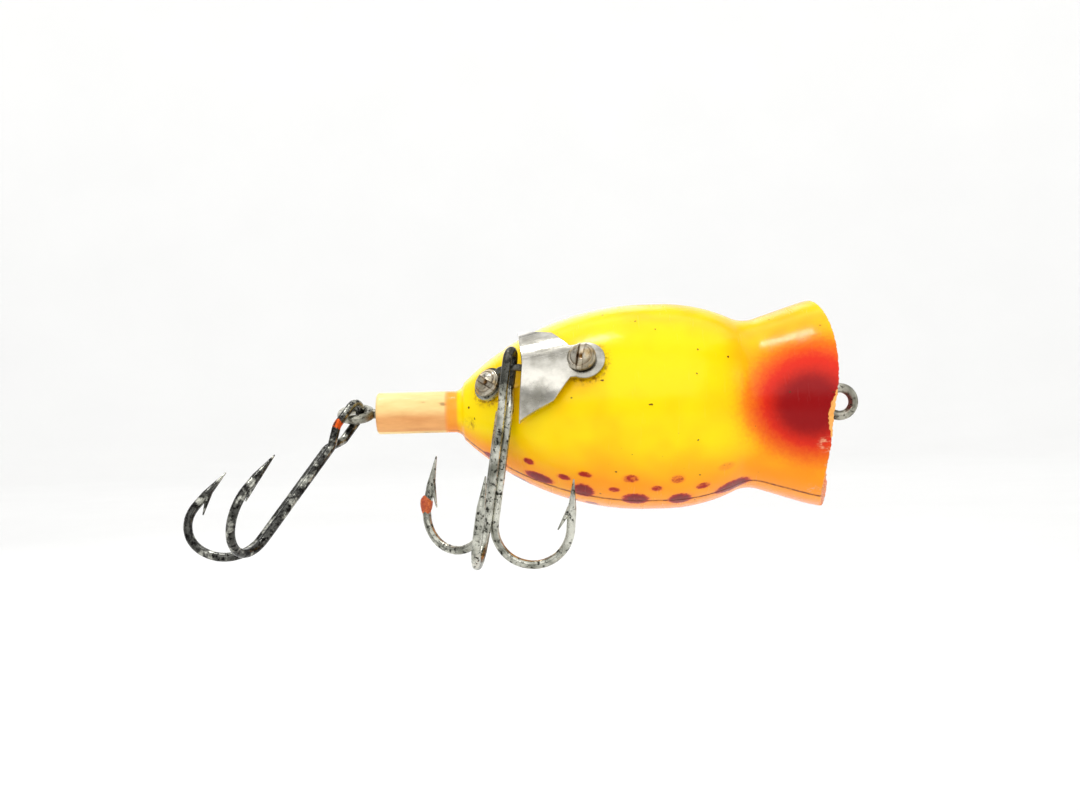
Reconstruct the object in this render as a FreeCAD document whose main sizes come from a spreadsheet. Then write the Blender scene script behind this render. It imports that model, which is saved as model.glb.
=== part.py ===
"""A hard-plastic popper fishing lure: a hollow body in two moulded halves, its screw eyes, a
two-piece hook hanger on the belly, a swinging treble hook and a swinging double hook.

Row frame, in millimetres: the origin is the middle of the line-tie eye, +X points out of the
mouth along the body's axis, +Z is up as the lure is held, and the belly faces -Y, rolled up by
`belly_roll`. The hull frame is the row frame turned about X, so that its +Z points out of the belly.
"""
import FreeCAD, Part
import math
import os
import Sketcher
from FreeCAD import Placement, Rotation, Vector

SIZES = {
    # hull, along the axis from the line-tie eye
    "belly_roll": 27.0,
    "stem_end_x": -57.1,
    "stem_round_x": -56.7,
    "stem_root_x": -47.5,
    "shoulder_x": -46.3,
    "bulge_rear_x": -24.0,
    "bulge_front_x": -22.0,
    "waist_rear_x": -13.3,
    "waist_front_x": -10.5,
    "flare_x": -5.4,
    "lip_x": 0.6,
    # hull, radii from the axis
    "eye_bore": 0.64,
    "stem_end_radius": 2.15,
    "stem_radius": 2.55,
    "shoulder_radius": 3.55,
    "bulge_radius": 12.6,
    "waist_rear_radius": 10.6,
    "waist_front_radius": 10.5,
    "flare_radius": 12.15,
    "lip_radius": 12.9,
    "lip_inner_radius": 12.1,
    # hull, radii of its arcs
    "stem_round": 0.4,
    "stem_fillet": 1.3,
    "tail_arc": 32.0,
    "chest_arc": 20.0,
    "waist_arc": 4.2,
    "flare_arc": 16.0,
    # mouth cup and the hollow behind it
    "cup_wall_x": -5.5,
    "cup_wall_radius": 11.0,
    "cup_floor_x": -9.8,
    "cup_floor_radius": 5.0,
    "cup_arc": 6.34,
    "boss_end_x": -17.0,
    "boss_radius": 2.4,
    "hollow_front_x": -11.4,
    "hollow_front_radius": 8.8,
    "hollow_waist_x": -13.9,
    "hollow_waist_radius": 9.3,
    "hollow_radius": 11.2,
    "hollow_chest_arc": 18.6,
    "hollow_tail_arc": 30.6,
    "hollow_end_x": -44.0,
    "hollow_end_radius": 3.75,
    # the scooped face of the mouth: a cylinder across the hull, nearer the belly than the back
    "scoop_radius": 32.5,
    "scoop_x": 28.7,
    "scoop_height": 3.4,
    "scoop_width": 40.0,
    # screw eyes
    "eye_wire": 0.6,
    "line_eye_radius": 1.7,
    "line_eye_end_x": -15.5,
    "tail_eye_radius": 1.75,
    "tail_eye_x": -59.7,
    "tail_eye_end_x": -47.0,
    "tail_eye_tilt": 21.0,
    # hanger screws
    "screw_head_radius": 1.7,
    "screw_head_height": 1.1,
    "screw_rim_height": 0.35,
    "screw_crown_arc": 2.3,
    "screw_shank_radius": 0.8,
    "screw_tip_length": 1.0,
    "screw_length": 5.0,
    "slot_width": 0.65,
    "slot_depth": 0.55,
    "front_screw_x": -31.7,
    "front_screw_lift": 1.36,
    "front_slot_turn": 80.0,
    "rear_screw_x": -42.7,
    "rear_screw_lift": 0.74,
    "rear_slot_turn": 35.0,
    "screw_boss_radius": 1.9,
    "screw_boss_length": 5.4,
    "screw_boss_depth": 0.6,
    "screw_hole_radius": 0.85,
    "drill_length": 6.0,
    # hanger flap plate
    "plate_thickness": 0.5,
    "plate_base_x": -39.0,
    "plate_tip_x": -39.5,
    "plate_tip_width": 5.9,
    "plate_cheek_x": -35.4,
    "plate_cheek_width": 4.5,
    "plate_neck_x": -33.4,
    "plate_neck_width": 2.1,
    "plate_lobe_x": -31.7,
    "plate_lobe_radius": 2.35,
    "plate_rear_section_x": -40.5,
    "plate_rear_top": 11.38,
    "plate_rear_arc": 6.1,
    "plate_front_section_x": -28.5,
    "plate_front_top": 12.5,
    "plate_front_arc": 11.9,
    "plate_section_angle": 75.0,
    "plate_blank_height": 30.0,
    "plate_hole_depth": 2.0,
    # hanger tongue
    "dimple_radius": 2.95,
    "tongue_half_width": 0.52,
    "tongue_half_height": 0.38,
    "tongue_height": 2.4,
    "tongue_slope": 18.0,
    "tongue_reach": 0.9,
    "tongue_rear_reach": 1.25,
    "tongue_root_bend": 0.45,
    "tongue_bend": 1.0,
    "tongue_dive_x": -38.6,
    "tongue_dive_height": 10.75,
    "tongue_end_x": -37.6,
    "tongue_end_height": 10.7,
    "eyelet_radius": 2.05,
    "eyelet_thickness": 0.45,
    "eyelet_lift": 0.22,
    "eyelet_gap": 0.12,
    "eyelet_hole_depth": 1.0,
    # hooks
    "hook_wire": 0.52,
    "hook_gap": 9.3,
    "bend_radius": 4.45,
    "bend_slack": 0.02,
    "throat_bend": 1.5,
    "spear_lean": 0.5,
    "point_length": 3.6,
    "point_radius": 0.08,
    "barb_length": 3.4,
    "barb_root": 3.0,
    "barb_lean": 26.0,
    "barb_radius": 0.42,
    "belly_hook_x": -40.5,
    "belly_hook_lean": 8.9,
    "belly_hook_tilt": 3.5,
    "belly_eye_top": 2.1,
    "belly_eye_bottom": -2.3,
    "belly_eye_half_width": 1.25,
    "belly_eye_throat": -4.3,
    "belly_shank_radius": 0.64,
    "belly_bend_depth": -22.5,
    "belly_point_depth": -11.8,
    "belly_near_turn": -5.1,
    "belly_right_turn": 85.8,
    "belly_left_turn": -125.2,
    "belly_spread": 60.0,
    "belly_single_top": -5.2,
    "tail_hook_turn": 20.0,
    "tail_hook_lean": 27.9,
    "tail_hook_tilt": -37.6,
    "tail_eye_top": 2.2,
    "tail_eye_bottom": -2.3,
    "tail_eye_half_width": 1.4,
    "tail_eye_throat": -4.8,
    "tail_shank_radius": 0.56,
    "tail_bend_depth": -23.6,
    "tail_point_depth": -13.4,
    "tail_near_turn": -22.4,
    "tail_far_turn": -108.9,
    "tail_spread": 90.0,
}

TOLERANCE = 1e-6
FOOT_STEPS = 20

doc = FreeCAD.newDocument("popper_lure")
sheet = doc.addObject("Spreadsheet::Sheet", "Sizes")
SUBPARTS = []


def fill_sheet():
    for row, (alias, number) in enumerate(SIZES.items(), start=1):
        sheet.set(f"A{row}", alias)
        sheet.set(f"B{row}", str(number))
        sheet.setAlias(f"B{row}", alias)
    doc.recompute()


def size(alias):
    return float(sheet.get(alias))


def bind(thing, **bindings):
    """Bind properties of an object to cells of the sheet: bind(box, Length="plate_length")."""
    for name, expression in bindings.items():
        thing.setExpression(name, f"Sizes.{expression}")


def primitive(kind, name, placement=None, **bindings):
    thing = doc.addObject(kind, name)
    bind(thing, **bindings)
    if placement:
        thing.Placement = placement
    return thing


def combine(kind, name, first, others):
    """Fuse, or cut, or keep what is common to the first object and the others."""
    thing = doc.addObject(kind, name)
    if kind == "Part::Cut":
        thing.Base = first
        thing.Tool = others[0] if len(others) == 1 else combine("Part::MultiFuse", name + "_tools",
                                                                others[0], others[1:])
    else:
        thing.Shapes = [first, *others]
    return thing


def sub_part(thing, label, placement=None):
    """Name a finished sub-part and put it in the row frame."""
    thing.Label = label
    if placement:
        thing.Placement = placement
    SUBPARTS.append(thing)
    return thing


def new_sketch(body, name, role):
    """A sketch on one of its own body's origin planes."""
    sketch = body.newObject("Sketcher::SketchObject", name)
    plane = next(f for f in body.Origin.OriginFeatures if f.Role == role)
    sketch.AttachmentSupport = [(plane, "")]
    sketch.MapMode = "FlatFace"
    return sketch


def arc_between(start, end, radius):
    """A short arc from start to end; a positive radius bulges to the left of the way it runs."""
    chord = end - start
    half = chord.Length / 2
    left = Vector(-chord.y, chord.x, 0).normalize()
    sagitta = abs(radius) - math.sqrt(radius ** 2 - half ** 2)
    middle = (start + end) / 2 + left * math.copysign(sagitta, radius)
    return Part.Arc(start, middle, end)


def draw_outline(sketch, corners):
    """Draw a closed outline; a corner is (x cell, y cell, cell of the arc to the next corner).

    An arc bulges to the left of the way the outline runs, or to its right if its cell has a minus.
    Sketched arcs always run anticlockwise, so one that bulges left is drawn from its far end.
    """
    points = [Vector(size(x), size(y), 0) for x, y, _ in corners]
    count = len(corners)
    ends = []
    for number, (_, _, arc) in enumerate(corners):
        start, end = points[number], points[(number + 1) % count]
        if arc is None:
            sketch.addGeometry(Part.LineSegment(start, end), False)
            ends.append((1, 2))
        elif arc.startswith("-"):
            sketch.addGeometry(arc_between(start, end, -size(arc[1:])), False)
            ends.append((1, 2))
        else:
            sketch.addGeometry(arc_between(end, start, -size(arc)), False)
            ends.append((2, 1))
    for number, (x_cell, y_cell, arc) in enumerate(corners):
        following = (number + 1) % count
        sketch.addConstraint(
            Sketcher.Constraint("Coincident", number, ends[number][1], following, ends[following][0]))
        hold(sketch, ("DistanceX", -1, 1, number, ends[number][0]), x_cell)
        hold(sketch, ("DistanceY", -1, 1, number, ends[number][0]), y_cell)
        if arc:
            hold(sketch, ("Radius", number), arc.strip("-"))


def hold(sketch, what, cell):
    """Add one dimension to a sketch and bind it to a cell."""
    place = sketch.addConstraint(Sketcher.Constraint(*what, size(cell)))
    sketch.setExpression(f"Constraints[{place}]", f"Sizes.{cell}")


def turned(name, corners, angle=360.0):
    """A body turned about X from a half outline in its XZ plane, evenly to both sides of it."""
    body = doc.addObject("PartDesign::Body", name)
    sketch = new_sketch(body, name + "_outline", "XZ_Plane")
    draw_outline(sketch, corners)
    turn = body.newObject("PartDesign::Revolution", name + "_turn")
    turn.Profile = sketch
    turn.ReferenceAxis = (sketch, ["H_Axis"])
    turn.Angle = angle
    turn.Midplane = True
    body.Tip = turn
    doc.recompute()
    return body


# --- hull ------------------------------------------------------------------------------------

HULL_OUTLINE = [
    ("stem_end_x", "eye_bore", None),
    ("stem_end_x", "stem_end_radius", "stem_round"),
    ("stem_round_x", "stem_radius", None),
    ("stem_root_x", "stem_radius", "-stem_fillet"),
    ("shoulder_x", "shoulder_radius", "tail_arc"),
    ("bulge_rear_x", "bulge_radius", None),
    ("bulge_front_x", "bulge_radius", "chest_arc"),
    ("waist_rear_x", "waist_rear_radius", "-waist_arc"),
    ("waist_front_x", "waist_front_radius", None),
    ("flare_x", "flare_radius", "flare_arc"),
    ("lip_x", "lip_radius", None),
    ("lip_x", "lip_inner_radius", None),
    ("cup_wall_x", "cup_wall_radius", "-cup_arc"),
    ("cup_floor_x", "cup_floor_radius", None),
    ("cup_floor_x", "eye_bore", None),
    ("boss_end_x", "eye_bore", None),
    ("boss_end_x", "boss_radius", None),
    ("hollow_front_x", "boss_radius", None),
    ("hollow_front_x", "hollow_front_radius", None),
    ("hollow_waist_x", "hollow_waist_radius", "-hollow_chest_arc"),
    ("bulge_front_x", "hollow_radius", None),
    ("bulge_rear_x", "hollow_radius", "-hollow_tail_arc"),
    ("hollow_end_x", "hollow_end_radius", None),
    ("hollow_end_x", "eye_bore", None),
]


def hull_surface(x):
    """Where the hull's tail arc is at x: its radius, and its slope as an angle in degrees."""
    along = size("bulge_rear_x") - x
    arc = size("tail_arc")
    fall = arc - math.sqrt(arc ** 2 - along ** 2)
    return size("bulge_radius") - fall, math.degrees(math.asin(along / arc))


def on_hull(x, height=0.0):
    """A frame in the hull frame's XZ plane, `height` above the belly at x, with +Z straight out."""
    radius, slope = hull_surface(x)
    turn = Rotation(Vector(0, 1, 0), -slope)
    return Placement(Vector(x, 0, radius) + turn.multVec(Vector(0, 0, height)), turn)


def half_hull(name, towards_belly):
    """One moulded half, with its half of the stem, the cup and the line-tie's boss."""
    half = turned(name + "_half", HULL_OUTLINE, 180.0)
    across = Rotation(Vector(1, 0, 0), -90)
    height = size("scoop_height") * (1 if towards_belly else -1)
    scoop = primitive("Part::Cylinder", name + "_scoop",
                      Placement(Vector(size("scoop_x"), -size("scoop_width") / 2, height), across),
                      Radius="scoop_radius", Height="scoop_width")
    return half, scoop


def hull_roll(towards_belly=True):
    turn = 90 - size("belly_roll")
    return Placement(Vector(), Rotation(Vector(1, 0, 0), turn if towards_belly else turn + 180))


def make_belly_shell():
    half, scoop = half_hull("belly", True)
    bosses, drills = [], [scoop]
    for screw in ("front_screw", "rear_screw"):
        foot = on_hull(size(screw + "_x"), -size("screw_boss_depth") - size("screw_boss_length"))
        bosses.append(primitive("Part::Cylinder", screw + "_boss", foot,
                                Radius="screw_boss_radius", Height="screw_boss_length"))
        hole = on_hull(size(screw + "_x"), -size("screw_length"))
        drills.append(primitive("Part::Cylinder", screw + "_drill", hole,
                                Radius="screw_hole_radius", Height="drill_length"))
    drills.append(primitive("Part::Sphere", "dimple", Placement(belly_hook_point(), Rotation()),
                            Radius="dimple_radius"))
    whole = combine("Part::MultiFuse", "belly_with_bosses", half, bosses)
    sub_part(combine("Part::Cut", "belly_shell", whole, drills), "belly_shell", hull_roll())


def make_back_shell():
    half, scoop = half_hull("back", False)
    sub_part(combine("Part::Cut", "back_shell", half, [scoop]), "back_shell", hull_roll(False))


# --- screw eyes --------------------------------------------------------------------------------

def make_screw_eye(label, ring_placement, ring_cell, start_x, end_x):
    """A ring of wire on a straight shank that runs along X into the hull.

    The ring is turned so that the seam of its torus lies opposite the shank.
    """
    turn = Placement(Vector(), Rotation(Vector(0, 0, 1), 180 if end_x > start_x else 0))
    ring = primitive("Part::Torus", label + "_ring", ring_placement * turn,
                     Radius1=ring_cell, Radius2="eye_wire")
    shank = primitive("Part::Cylinder", label + "_shank",
                      Placement(Vector(min(start_x, end_x), 0, 0), Rotation(Vector(0, 1, 0), 90)),
                      Radius="eye_wire")
    shank.Height = abs(end_x - start_x)
    sub_part(combine("Part::MultiFuse", label, ring, [shank]), label)


def tail_ring():
    return Placement(Vector(size("tail_eye_x"), 0, 0),
                     Rotation(Vector(1, 0, 0), size("tail_eye_tilt")))


def make_screw_eyes():
    upright = Placement(Vector(), Rotation(Vector(1, 0, 0), 90))
    make_screw_eye("line_tie_eye", upright, "line_eye_radius",
                   -size("line_eye_radius"), size("line_eye_end_x"))
    make_screw_eye("tail_eye", tail_ring(), "tail_eye_radius",
                   size("tail_eye_x") + size("tail_eye_radius"), size("tail_eye_end_x"))


# --- hook hanger ---------------------------------------------------------------------------------

def make_screw(label, x_cell, lift_cell, turn_cell):
    """A slotted round-head screw, straight into the belly."""
    head, rim = size("screw_head_height"), size("screw_rim_height")
    radius, shank = size("screw_head_radius"), size("screw_shank_radius")
    length, tip = size("screw_length"), size("screw_tip_length")
    body = doc.addObject("PartDesign::Body", label + "_body")
    sketch = new_sketch(body, label + "_outline", "XZ_Plane")
    corners = [(0, head), (radius, rim), (radius, 0), (shank, 0), (shank, tip - length), (0, -length)]
    points = [Vector(x, z, 0) for x, z in corners]
    for number, start in enumerate(points):
        end = points[(number + 1) % len(points)]
        if number == 0:
            sketch.addGeometry(arc_between(end, start, -size("screw_crown_arc")), False)
        else:
            sketch.addGeometry(Part.LineSegment(start, end), False)
    turn = body.newObject("PartDesign::Revolution", label + "_turn")
    turn.Profile = sketch
    turn.ReferenceAxis = (sketch, ["V_Axis"])
    turn.Angle = 360
    body.Tip = turn
    doc.recompute()
    slot = primitive("Part::Box", label + "_slot", None, Width="slot_width")
    slot.Length = 4 * radius
    slot.Height = head
    slot.Placement = Placement(
        Vector(-2 * radius, -size("slot_width") / 2, head - size("slot_depth")), Rotation())
    seat = on_hull(size(x_cell), size(lift_cell))
    spin = Placement(Vector(), Rotation(Vector(0, 0, 1), size(turn_cell)))
    sub_part(combine("Part::Cut", label, body, [slot]), label, hull_roll() * seat * spin)


def crescent(name, x_cell, top_cell, arc_cell):
    """The plate's section at x: a strip bent round the belly, its top at the stated height."""
    x, top, arc = size(x_cell), size(top_cell), size(arc_cell)
    reach = math.radians(size("plate_section_angle"))
    middle = Vector(x, 0, top - arc)

    def point(radius, angle):
        return middle + Vector(0, radius * math.sin(angle), radius * math.cos(angle))

    outer = arc + size("plate_thickness")
    edges = [
        Part.Arc(point(arc, -reach), point(arc, 0), point(arc, reach)).toShape(),
        Part.LineSegment(point(arc, reach), point(outer, reach)).toShape(),
        Part.Arc(point(outer, reach), point(outer, 0), point(outer, -reach)).toShape(),
        Part.LineSegment(point(outer, -reach), point(arc, -reach)).toShape(),
    ]
    section = doc.addObject("Part::Feature", name)
    section.Shape = Part.Wire(edges)
    return section


def make_flap_plate():
    """A delta plate: a round lobe under the front screw, and two flaps bent down over the belly."""
    bent = doc.addObject("Part::Loft", "plate_sheet")
    bent.Sections = [crescent("plate_rear", "plate_rear_section_x", "plate_rear_top", "plate_rear_arc"),
                     crescent("plate_front", "plate_front_section_x", "plate_front_top",
                              "plate_front_arc")]
    bent.Solid = True
    bent.Ruled = True
    side = [(size("plate_base_x"), 0.0),
            (size("plate_tip_x"), size("plate_tip_width")),
            (size("plate_cheek_x"), size("plate_cheek_width")),
            (size("plate_neck_x"), size("plate_neck_width"))]
    lobe_x = size("plate_lobe_x")
    lobe = size("plate_lobe_radius")
    outline = [Vector(x, y, 0) for x, y in side] + [Vector(x, -y, 0) for x, y in reversed(side[1:])]
    blank = doc.addObject("Part::Feature", "plate_blank")
    height = Vector(0, 0, size("plate_blank_height"))
    blank.Shape = Part.Face(Part.makePolygon(outline + outline[:1])).extrude(height)
    disc = primitive("Part::Cylinder", "plate_lobe", Placement(Vector(lobe_x, 0, 0), Rotation()),
                     Radius="plate_lobe_radius", Height="plate_blank_height")
    link = primitive("Part::Box", "plate_link", None, Height="plate_blank_height")
    link.Length = lobe_x - size("plate_neck_x")
    link.Width = 2 * size("plate_neck_width")
    link.Placement.Base = Vector(size("plate_neck_x"), -size("plate_neck_width"), 0)
    plan = combine("Part::MultiFuse", "plate_plan", blank, [disc, link])
    cut = combine("Part::MultiCommon", "plate_cut", bent, [plan])
    hole = primitive("Part::Cylinder", "plate_hole",
                     on_hull(size("front_screw_x"), -size("plate_hole_depth")),
                     Radius="screw_hole_radius", Height="drill_length")
    sub_part(combine("Part::Cut", "hanger_flap_plate", cut, [hole]), "hanger_flap_plate", hull_roll())


def rounded_path(points, radii):
    """A wire of straight runs, with an arc of the stated radius tangent to both runs at each corner."""
    edges = []
    start = points[0]
    for corner, following, radius in zip(points[1:-1], points[2:], radii):
        into = (corner - start).normalize()
        out = (following - corner).normalize()
        turn = into.getAngle(out)
        reach = radius * math.tan(turn / 2)
        first, last = corner - into * reach, corner + out * reach
        inward = (out - into).normalize()
        centre = corner + inward * (radius / math.cos(turn / 2))
        if (first - start).Length > TOLERANCE:
            edges.append(Part.LineSegment(start, first).toShape())
        edges.append(Part.Arc(first, centre - inward * radius, last).toShape())
        start = last
    edges.append(Part.LineSegment(start, points[-1]).toShape())
    return Part.Wire(edges)


def swept(name, path, section):
    """Sweep a section, placed at the path's first point, along the path."""
    spine = doc.addObject("Part::Feature", name + "_path")
    spine.Shape = path
    first = path.Edges[0]
    section.Placement = Placement(first.valueAt(first.FirstParameter),
                                  Rotation(Vector(0, 0, 1), first.tangentAt(first.FirstParameter)))
    sweep = doc.addObject("Part::Sweep", name)
    sweep.Sections = [section]
    sweep.Spine = (spine, [f"Edge{number}" for number in range(1, len(path.Edges) + 1)])
    sweep.Solid = True
    sweep.Frenet = False
    return sweep


def belly_hook_point():
    """Where the treble's eye crosses the tongue, in the hull frame."""
    x = size("belly_hook_x")
    foot = x
    for _ in range(FOOT_STEPS):
        foot = x + size("tongue_height") * math.sin(math.radians(hull_surface(foot)[1]))
    return on_hull(foot, size("tongue_height")).Base


def tongue_direction():
    """The way the tongue runs where it bridges the treble's eye, in the hull frame."""
    slope = math.radians(size("tongue_slope"))
    return Vector(math.cos(slope), 0, math.sin(slope))


def make_tongue():
    """A strap with a round eyelet under the rear screw; its narrow tongue bridges the treble's eye."""
    seat = on_hull(size("rear_screw_x"), size("eyelet_lift"))
    eyelet = primitive("Part::Cylinder", "eyelet", seat, Radius="eyelet_radius", Height="eyelet_thickness")
    hole = primitive("Part::Cylinder", "eyelet_hole",
                     on_hull(size("rear_screw_x"), -size("eyelet_hole_depth")),
                     Radius="screw_hole_radius", Height="drill_length")
    ring = combine("Part::Cut", "eyelet_ring", eyelet, [hole])
    bridge = belly_hook_point()
    along = tongue_direction()
    edge = size("eyelet_radius") + size("eyelet_gap")
    low = seat.multVec(Vector(edge, 0, size("eyelet_thickness") / 2))
    points = [low, bridge - along * size("tongue_rear_reach"), bridge + along * size("tongue_reach"),
              Vector(size("tongue_dive_x"), 0, size("tongue_dive_height")),
              Vector(size("tongue_end_x"), 0, size("tongue_end_height"))]
    bends = [size("tongue_root_bend"), size("tongue_bend"), size("tongue_bend")]
    section = primitive("Part::Ellipse", "tongue_section", None,
                        MajorRadius="tongue_half_width", MinorRadius="tongue_half_height")
    tongue = swept("tongue", rounded_path(points, bends), section)
    sub_part(combine("Part::MultiFuse", "hanger_tongue", ring, [tongue]), "hanger_tongue", hull_roll())


# --- hooks ---------------------------------------------------------------------------------------

def around(turn):
    """The direction at `turn` degrees about a hook's shank, from its hinge direction."""
    angle = math.radians(turn)
    return Vector(math.cos(angle), math.sin(angle), 0)


def prong_corners(hook, turn, place):
    """A prong's wire, in the hook's frame, from where its point begins round the bend to the shank.

    The prong stands at `turn` about the shank, and its wire runs up the shank's side at `place`.
    """
    shank = size(hook + "_shank_radius")
    reach = shank + size("hook_gap")
    bottom = Vector(0, 0, size(hook + "_bend_depth"))
    point = Vector(0, 0, size(hook + "_point_depth") - size("point_length"))
    return [around(turn) * (reach - size("spear_lean")) + point,
            around(turn) * reach + bottom,
            around(place) * shank + bottom]


def make_point(name, turn, corners):
    """A prong's tapered point, and its barb that leans in towards the shank."""
    out = around(turn)
    along = (corners[0] - corners[1]).normalize()
    tip = primitive("Part::Cone", name + "_tip",
                    Placement(corners[0], Rotation(Vector(0, 0, 1), along)),
                    Radius1="hook_wire", Radius2="point_radius", Height="point_length")
    root = corners[0] + along * (size("point_length") - size("barb_root"))
    lean = Rotation(along.cross(out), size("barb_lean"))
    barb = primitive("Part::Cone", name + "_barb",
                     Placement(root, Rotation(Vector(0, 0, 1), lean.multVec(along * -1))),
                     Radius1="barb_radius", Radius2="point_radius", Height="barb_length")
    return [tip, barb]


def wire_section(name):
    return primitive("Part::Circle", name + "_section", None, Radius="hook_wire")


def facing(frame):
    """The angle about a hook's shank of the direction that faces -Y."""
    front = frame.Rotation.inverted().multVec(Vector(0, -1, 0))
    return math.degrees(math.atan2(front.y, front.x))


def bend_radii():
    """The two arcs of a prong's bend; together they just fill the gap."""
    return [size("bend_radius"), size("bend_radius") - size("bend_slack")]


def looped_wire(label, hook, turns, placement):
    """One wire bent double: a long eye at the top, and a prong at each end."""
    half = size(hook + "_eye_half_width")
    top, bottom, throat = (size(f"{hook}_eye_{part}") for part in ("top", "bottom", "throat"))
    front = facing(placement)
    middle = front + sum(turns) / 2
    sides, ends = [], []
    for number, turn in enumerate(turns):
        spread = size(hook + "_spread") * (1 if turn > sum(turns) / 2 else -1)
        start = around(middle + spread) * size(hook + "_shank_radius")
        side = 1 if start.y > 0 else -1
        corners = prong_corners(hook, front + turn, middle + spread)
        sides.append(corners + [start + Vector(0, 0, throat), Vector(0, side * half, bottom),
                                Vector(0, side * half, top)])
        ends += make_point(f"{label}_{number}", front + turn, corners)
    points = sides[0] + sides[1][::-1]
    throat_bend = size("throat_bend")
    bends = bend_radii() + [throat_bend, throat_bend, half - size("bend_slack") / 2]
    wire = swept(label + "_wire", rounded_path(points, bends + bends[::-1]), wire_section(label))
    sub_part(combine("Part::MultiFuse", label, wire, ends), label, placement)


def single_wire(label, hook, turn, place, placement):
    """The treble's third wire, laid along the other two and brazed to them."""
    front = facing(placement)
    corners = prong_corners(hook, front + turn, front + place)
    top = around(front + place) * size(hook + "_shank_radius") + Vector(0, 0, size("belly_single_top"))
    wire = swept(label + "_wire", rounded_path(corners + [top], bend_radii()), wire_section(label))
    points = make_point(label, front + turn, corners)
    sub_part(combine("Part::MultiFuse", label, wire, points), label, placement)


def hook_frame(origin, hinge, lean, tilt):
    """A hook's frame: +Z up its shank, +X its hinge, which is kept square to the shank."""
    up = Rotation(Vector(0, 1, 0), lean).multVec(Vector(0, 0, 1))
    up = Rotation(Vector(1, 0, 0), tilt).multVec(up)
    across = (hinge - up * hinge.dot(up)).normalize()
    side = up.cross(across)
    return Placement(FreeCAD.Matrix(across.x, side.x, up.x, origin.x,
                                    across.y, side.y, up.y, origin.y,
                                    across.z, side.z, up.z, origin.z,
                                    0, 0, 0, 1))


def belly_hook_frame():
    hull = hull_roll()
    return hook_frame(hull.multVec(belly_hook_point()), hull.Rotation.multVec(tongue_direction()),
                      size("belly_hook_lean"), size("belly_hook_tilt"))


def make_belly_hook():
    turns = [size("belly_near_turn"), size("belly_right_turn")]
    opposite = sum(turns) / 2 + 180
    looped_wire("belly_hook_double_wire", "belly", turns, belly_hook_frame())
    single_wire("belly_hook_single_wire", "belly", size("belly_left_turn"), opposite,
                belly_hook_frame())


def tail_hook_frame():
    turn = math.radians(size("tail_hook_turn"))
    ring = tail_ring()
    reach = size("tail_eye_radius")
    at = ring.multVec(Vector(-math.sin(turn) * reach, -math.cos(turn) * reach, 0))
    tangent = ring.Rotation.multVec(Vector(math.cos(turn), -math.sin(turn), 0))
    return hook_frame(at, tangent, size("tail_hook_lean"), size("tail_hook_tilt"))


def make_tail_hook():
    turns = [size("tail_near_turn"), size("tail_far_turn")]
    looped_wire("tail_hook_wire", "tail", turns, tail_hook_frame())


def check(things):
    for thing in things:
        for state in ("Invalid", "Error"):
            if state in thing.State:
                raise RuntimeError(f"{thing.Name} is {state}")


def main():
    fill_sheet()
    make_belly_shell()
    make_back_shell()
    make_screw_eyes()
    make_flap_plate()
    make_tongue()
    make_screw("hanger_front_screw", "front_screw_x", "front_screw_lift", "front_slot_turn")
    make_screw("hanger_rear_screw", "rear_screw_x", "rear_screw_lift", "rear_slot_turn")
    make_belly_hook()
    make_tail_hook()
    doc.recompute()
    check(doc.Objects)
    os.makedirs("parts", exist_ok=True)
    for thing in SUBPARTS:
        if thing.Shape.isNull() or not thing.Shape.isValid():
            raise RuntimeError(f"{thing.Label} has no valid shape")
        thing.Shape.exportStep(f"parts/{thing.Label}.step")
        print(thing.Label, len(thing.Shape.Solids), round(thing.Shape.Volume, 2))


main()
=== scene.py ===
"""Visual model of the popper fishing lure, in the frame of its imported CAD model.

Sizes are in millimetres and become metres where a mesh is made. A place on the hull is given by x
along its axis and by the angle about it, in degrees, from the middle of the belly towards the top.
"""
import math
import random

import bmesh
import bpy
import numpy as np
from mathutils import Matrix, Vector, noise


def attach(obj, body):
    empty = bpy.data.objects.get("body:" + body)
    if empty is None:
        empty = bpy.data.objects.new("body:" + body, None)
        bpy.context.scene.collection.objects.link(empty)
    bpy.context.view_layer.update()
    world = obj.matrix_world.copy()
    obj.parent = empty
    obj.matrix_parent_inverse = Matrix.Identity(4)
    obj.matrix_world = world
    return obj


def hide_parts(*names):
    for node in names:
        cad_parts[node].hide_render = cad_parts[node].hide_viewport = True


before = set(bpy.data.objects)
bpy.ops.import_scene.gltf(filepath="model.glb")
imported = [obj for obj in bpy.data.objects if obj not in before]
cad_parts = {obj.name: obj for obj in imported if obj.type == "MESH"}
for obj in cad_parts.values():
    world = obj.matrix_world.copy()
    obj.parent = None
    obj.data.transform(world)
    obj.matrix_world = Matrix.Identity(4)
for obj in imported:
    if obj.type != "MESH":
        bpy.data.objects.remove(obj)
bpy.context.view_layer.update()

MM = 0.001
PER_MM = 1000.0
BELLY_ROLL = math.radians(27.0)
BELLY = Vector((0.0, -math.cos(BELLY_ROLL), math.sin(BELLY_ROLL)))
SIDE = Vector((0.0, math.sin(BELLY_ROLL), math.cos(BELLY_ROLL)))
RANDOM = random.Random(7)

# The hull tapers to the tail on one arc: its radius, and where it meets the widest part.
TAIL_ARC, TAIL_ARC_X, BULGE_RADIUS = 32.0, -24.0, 12.6

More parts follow.
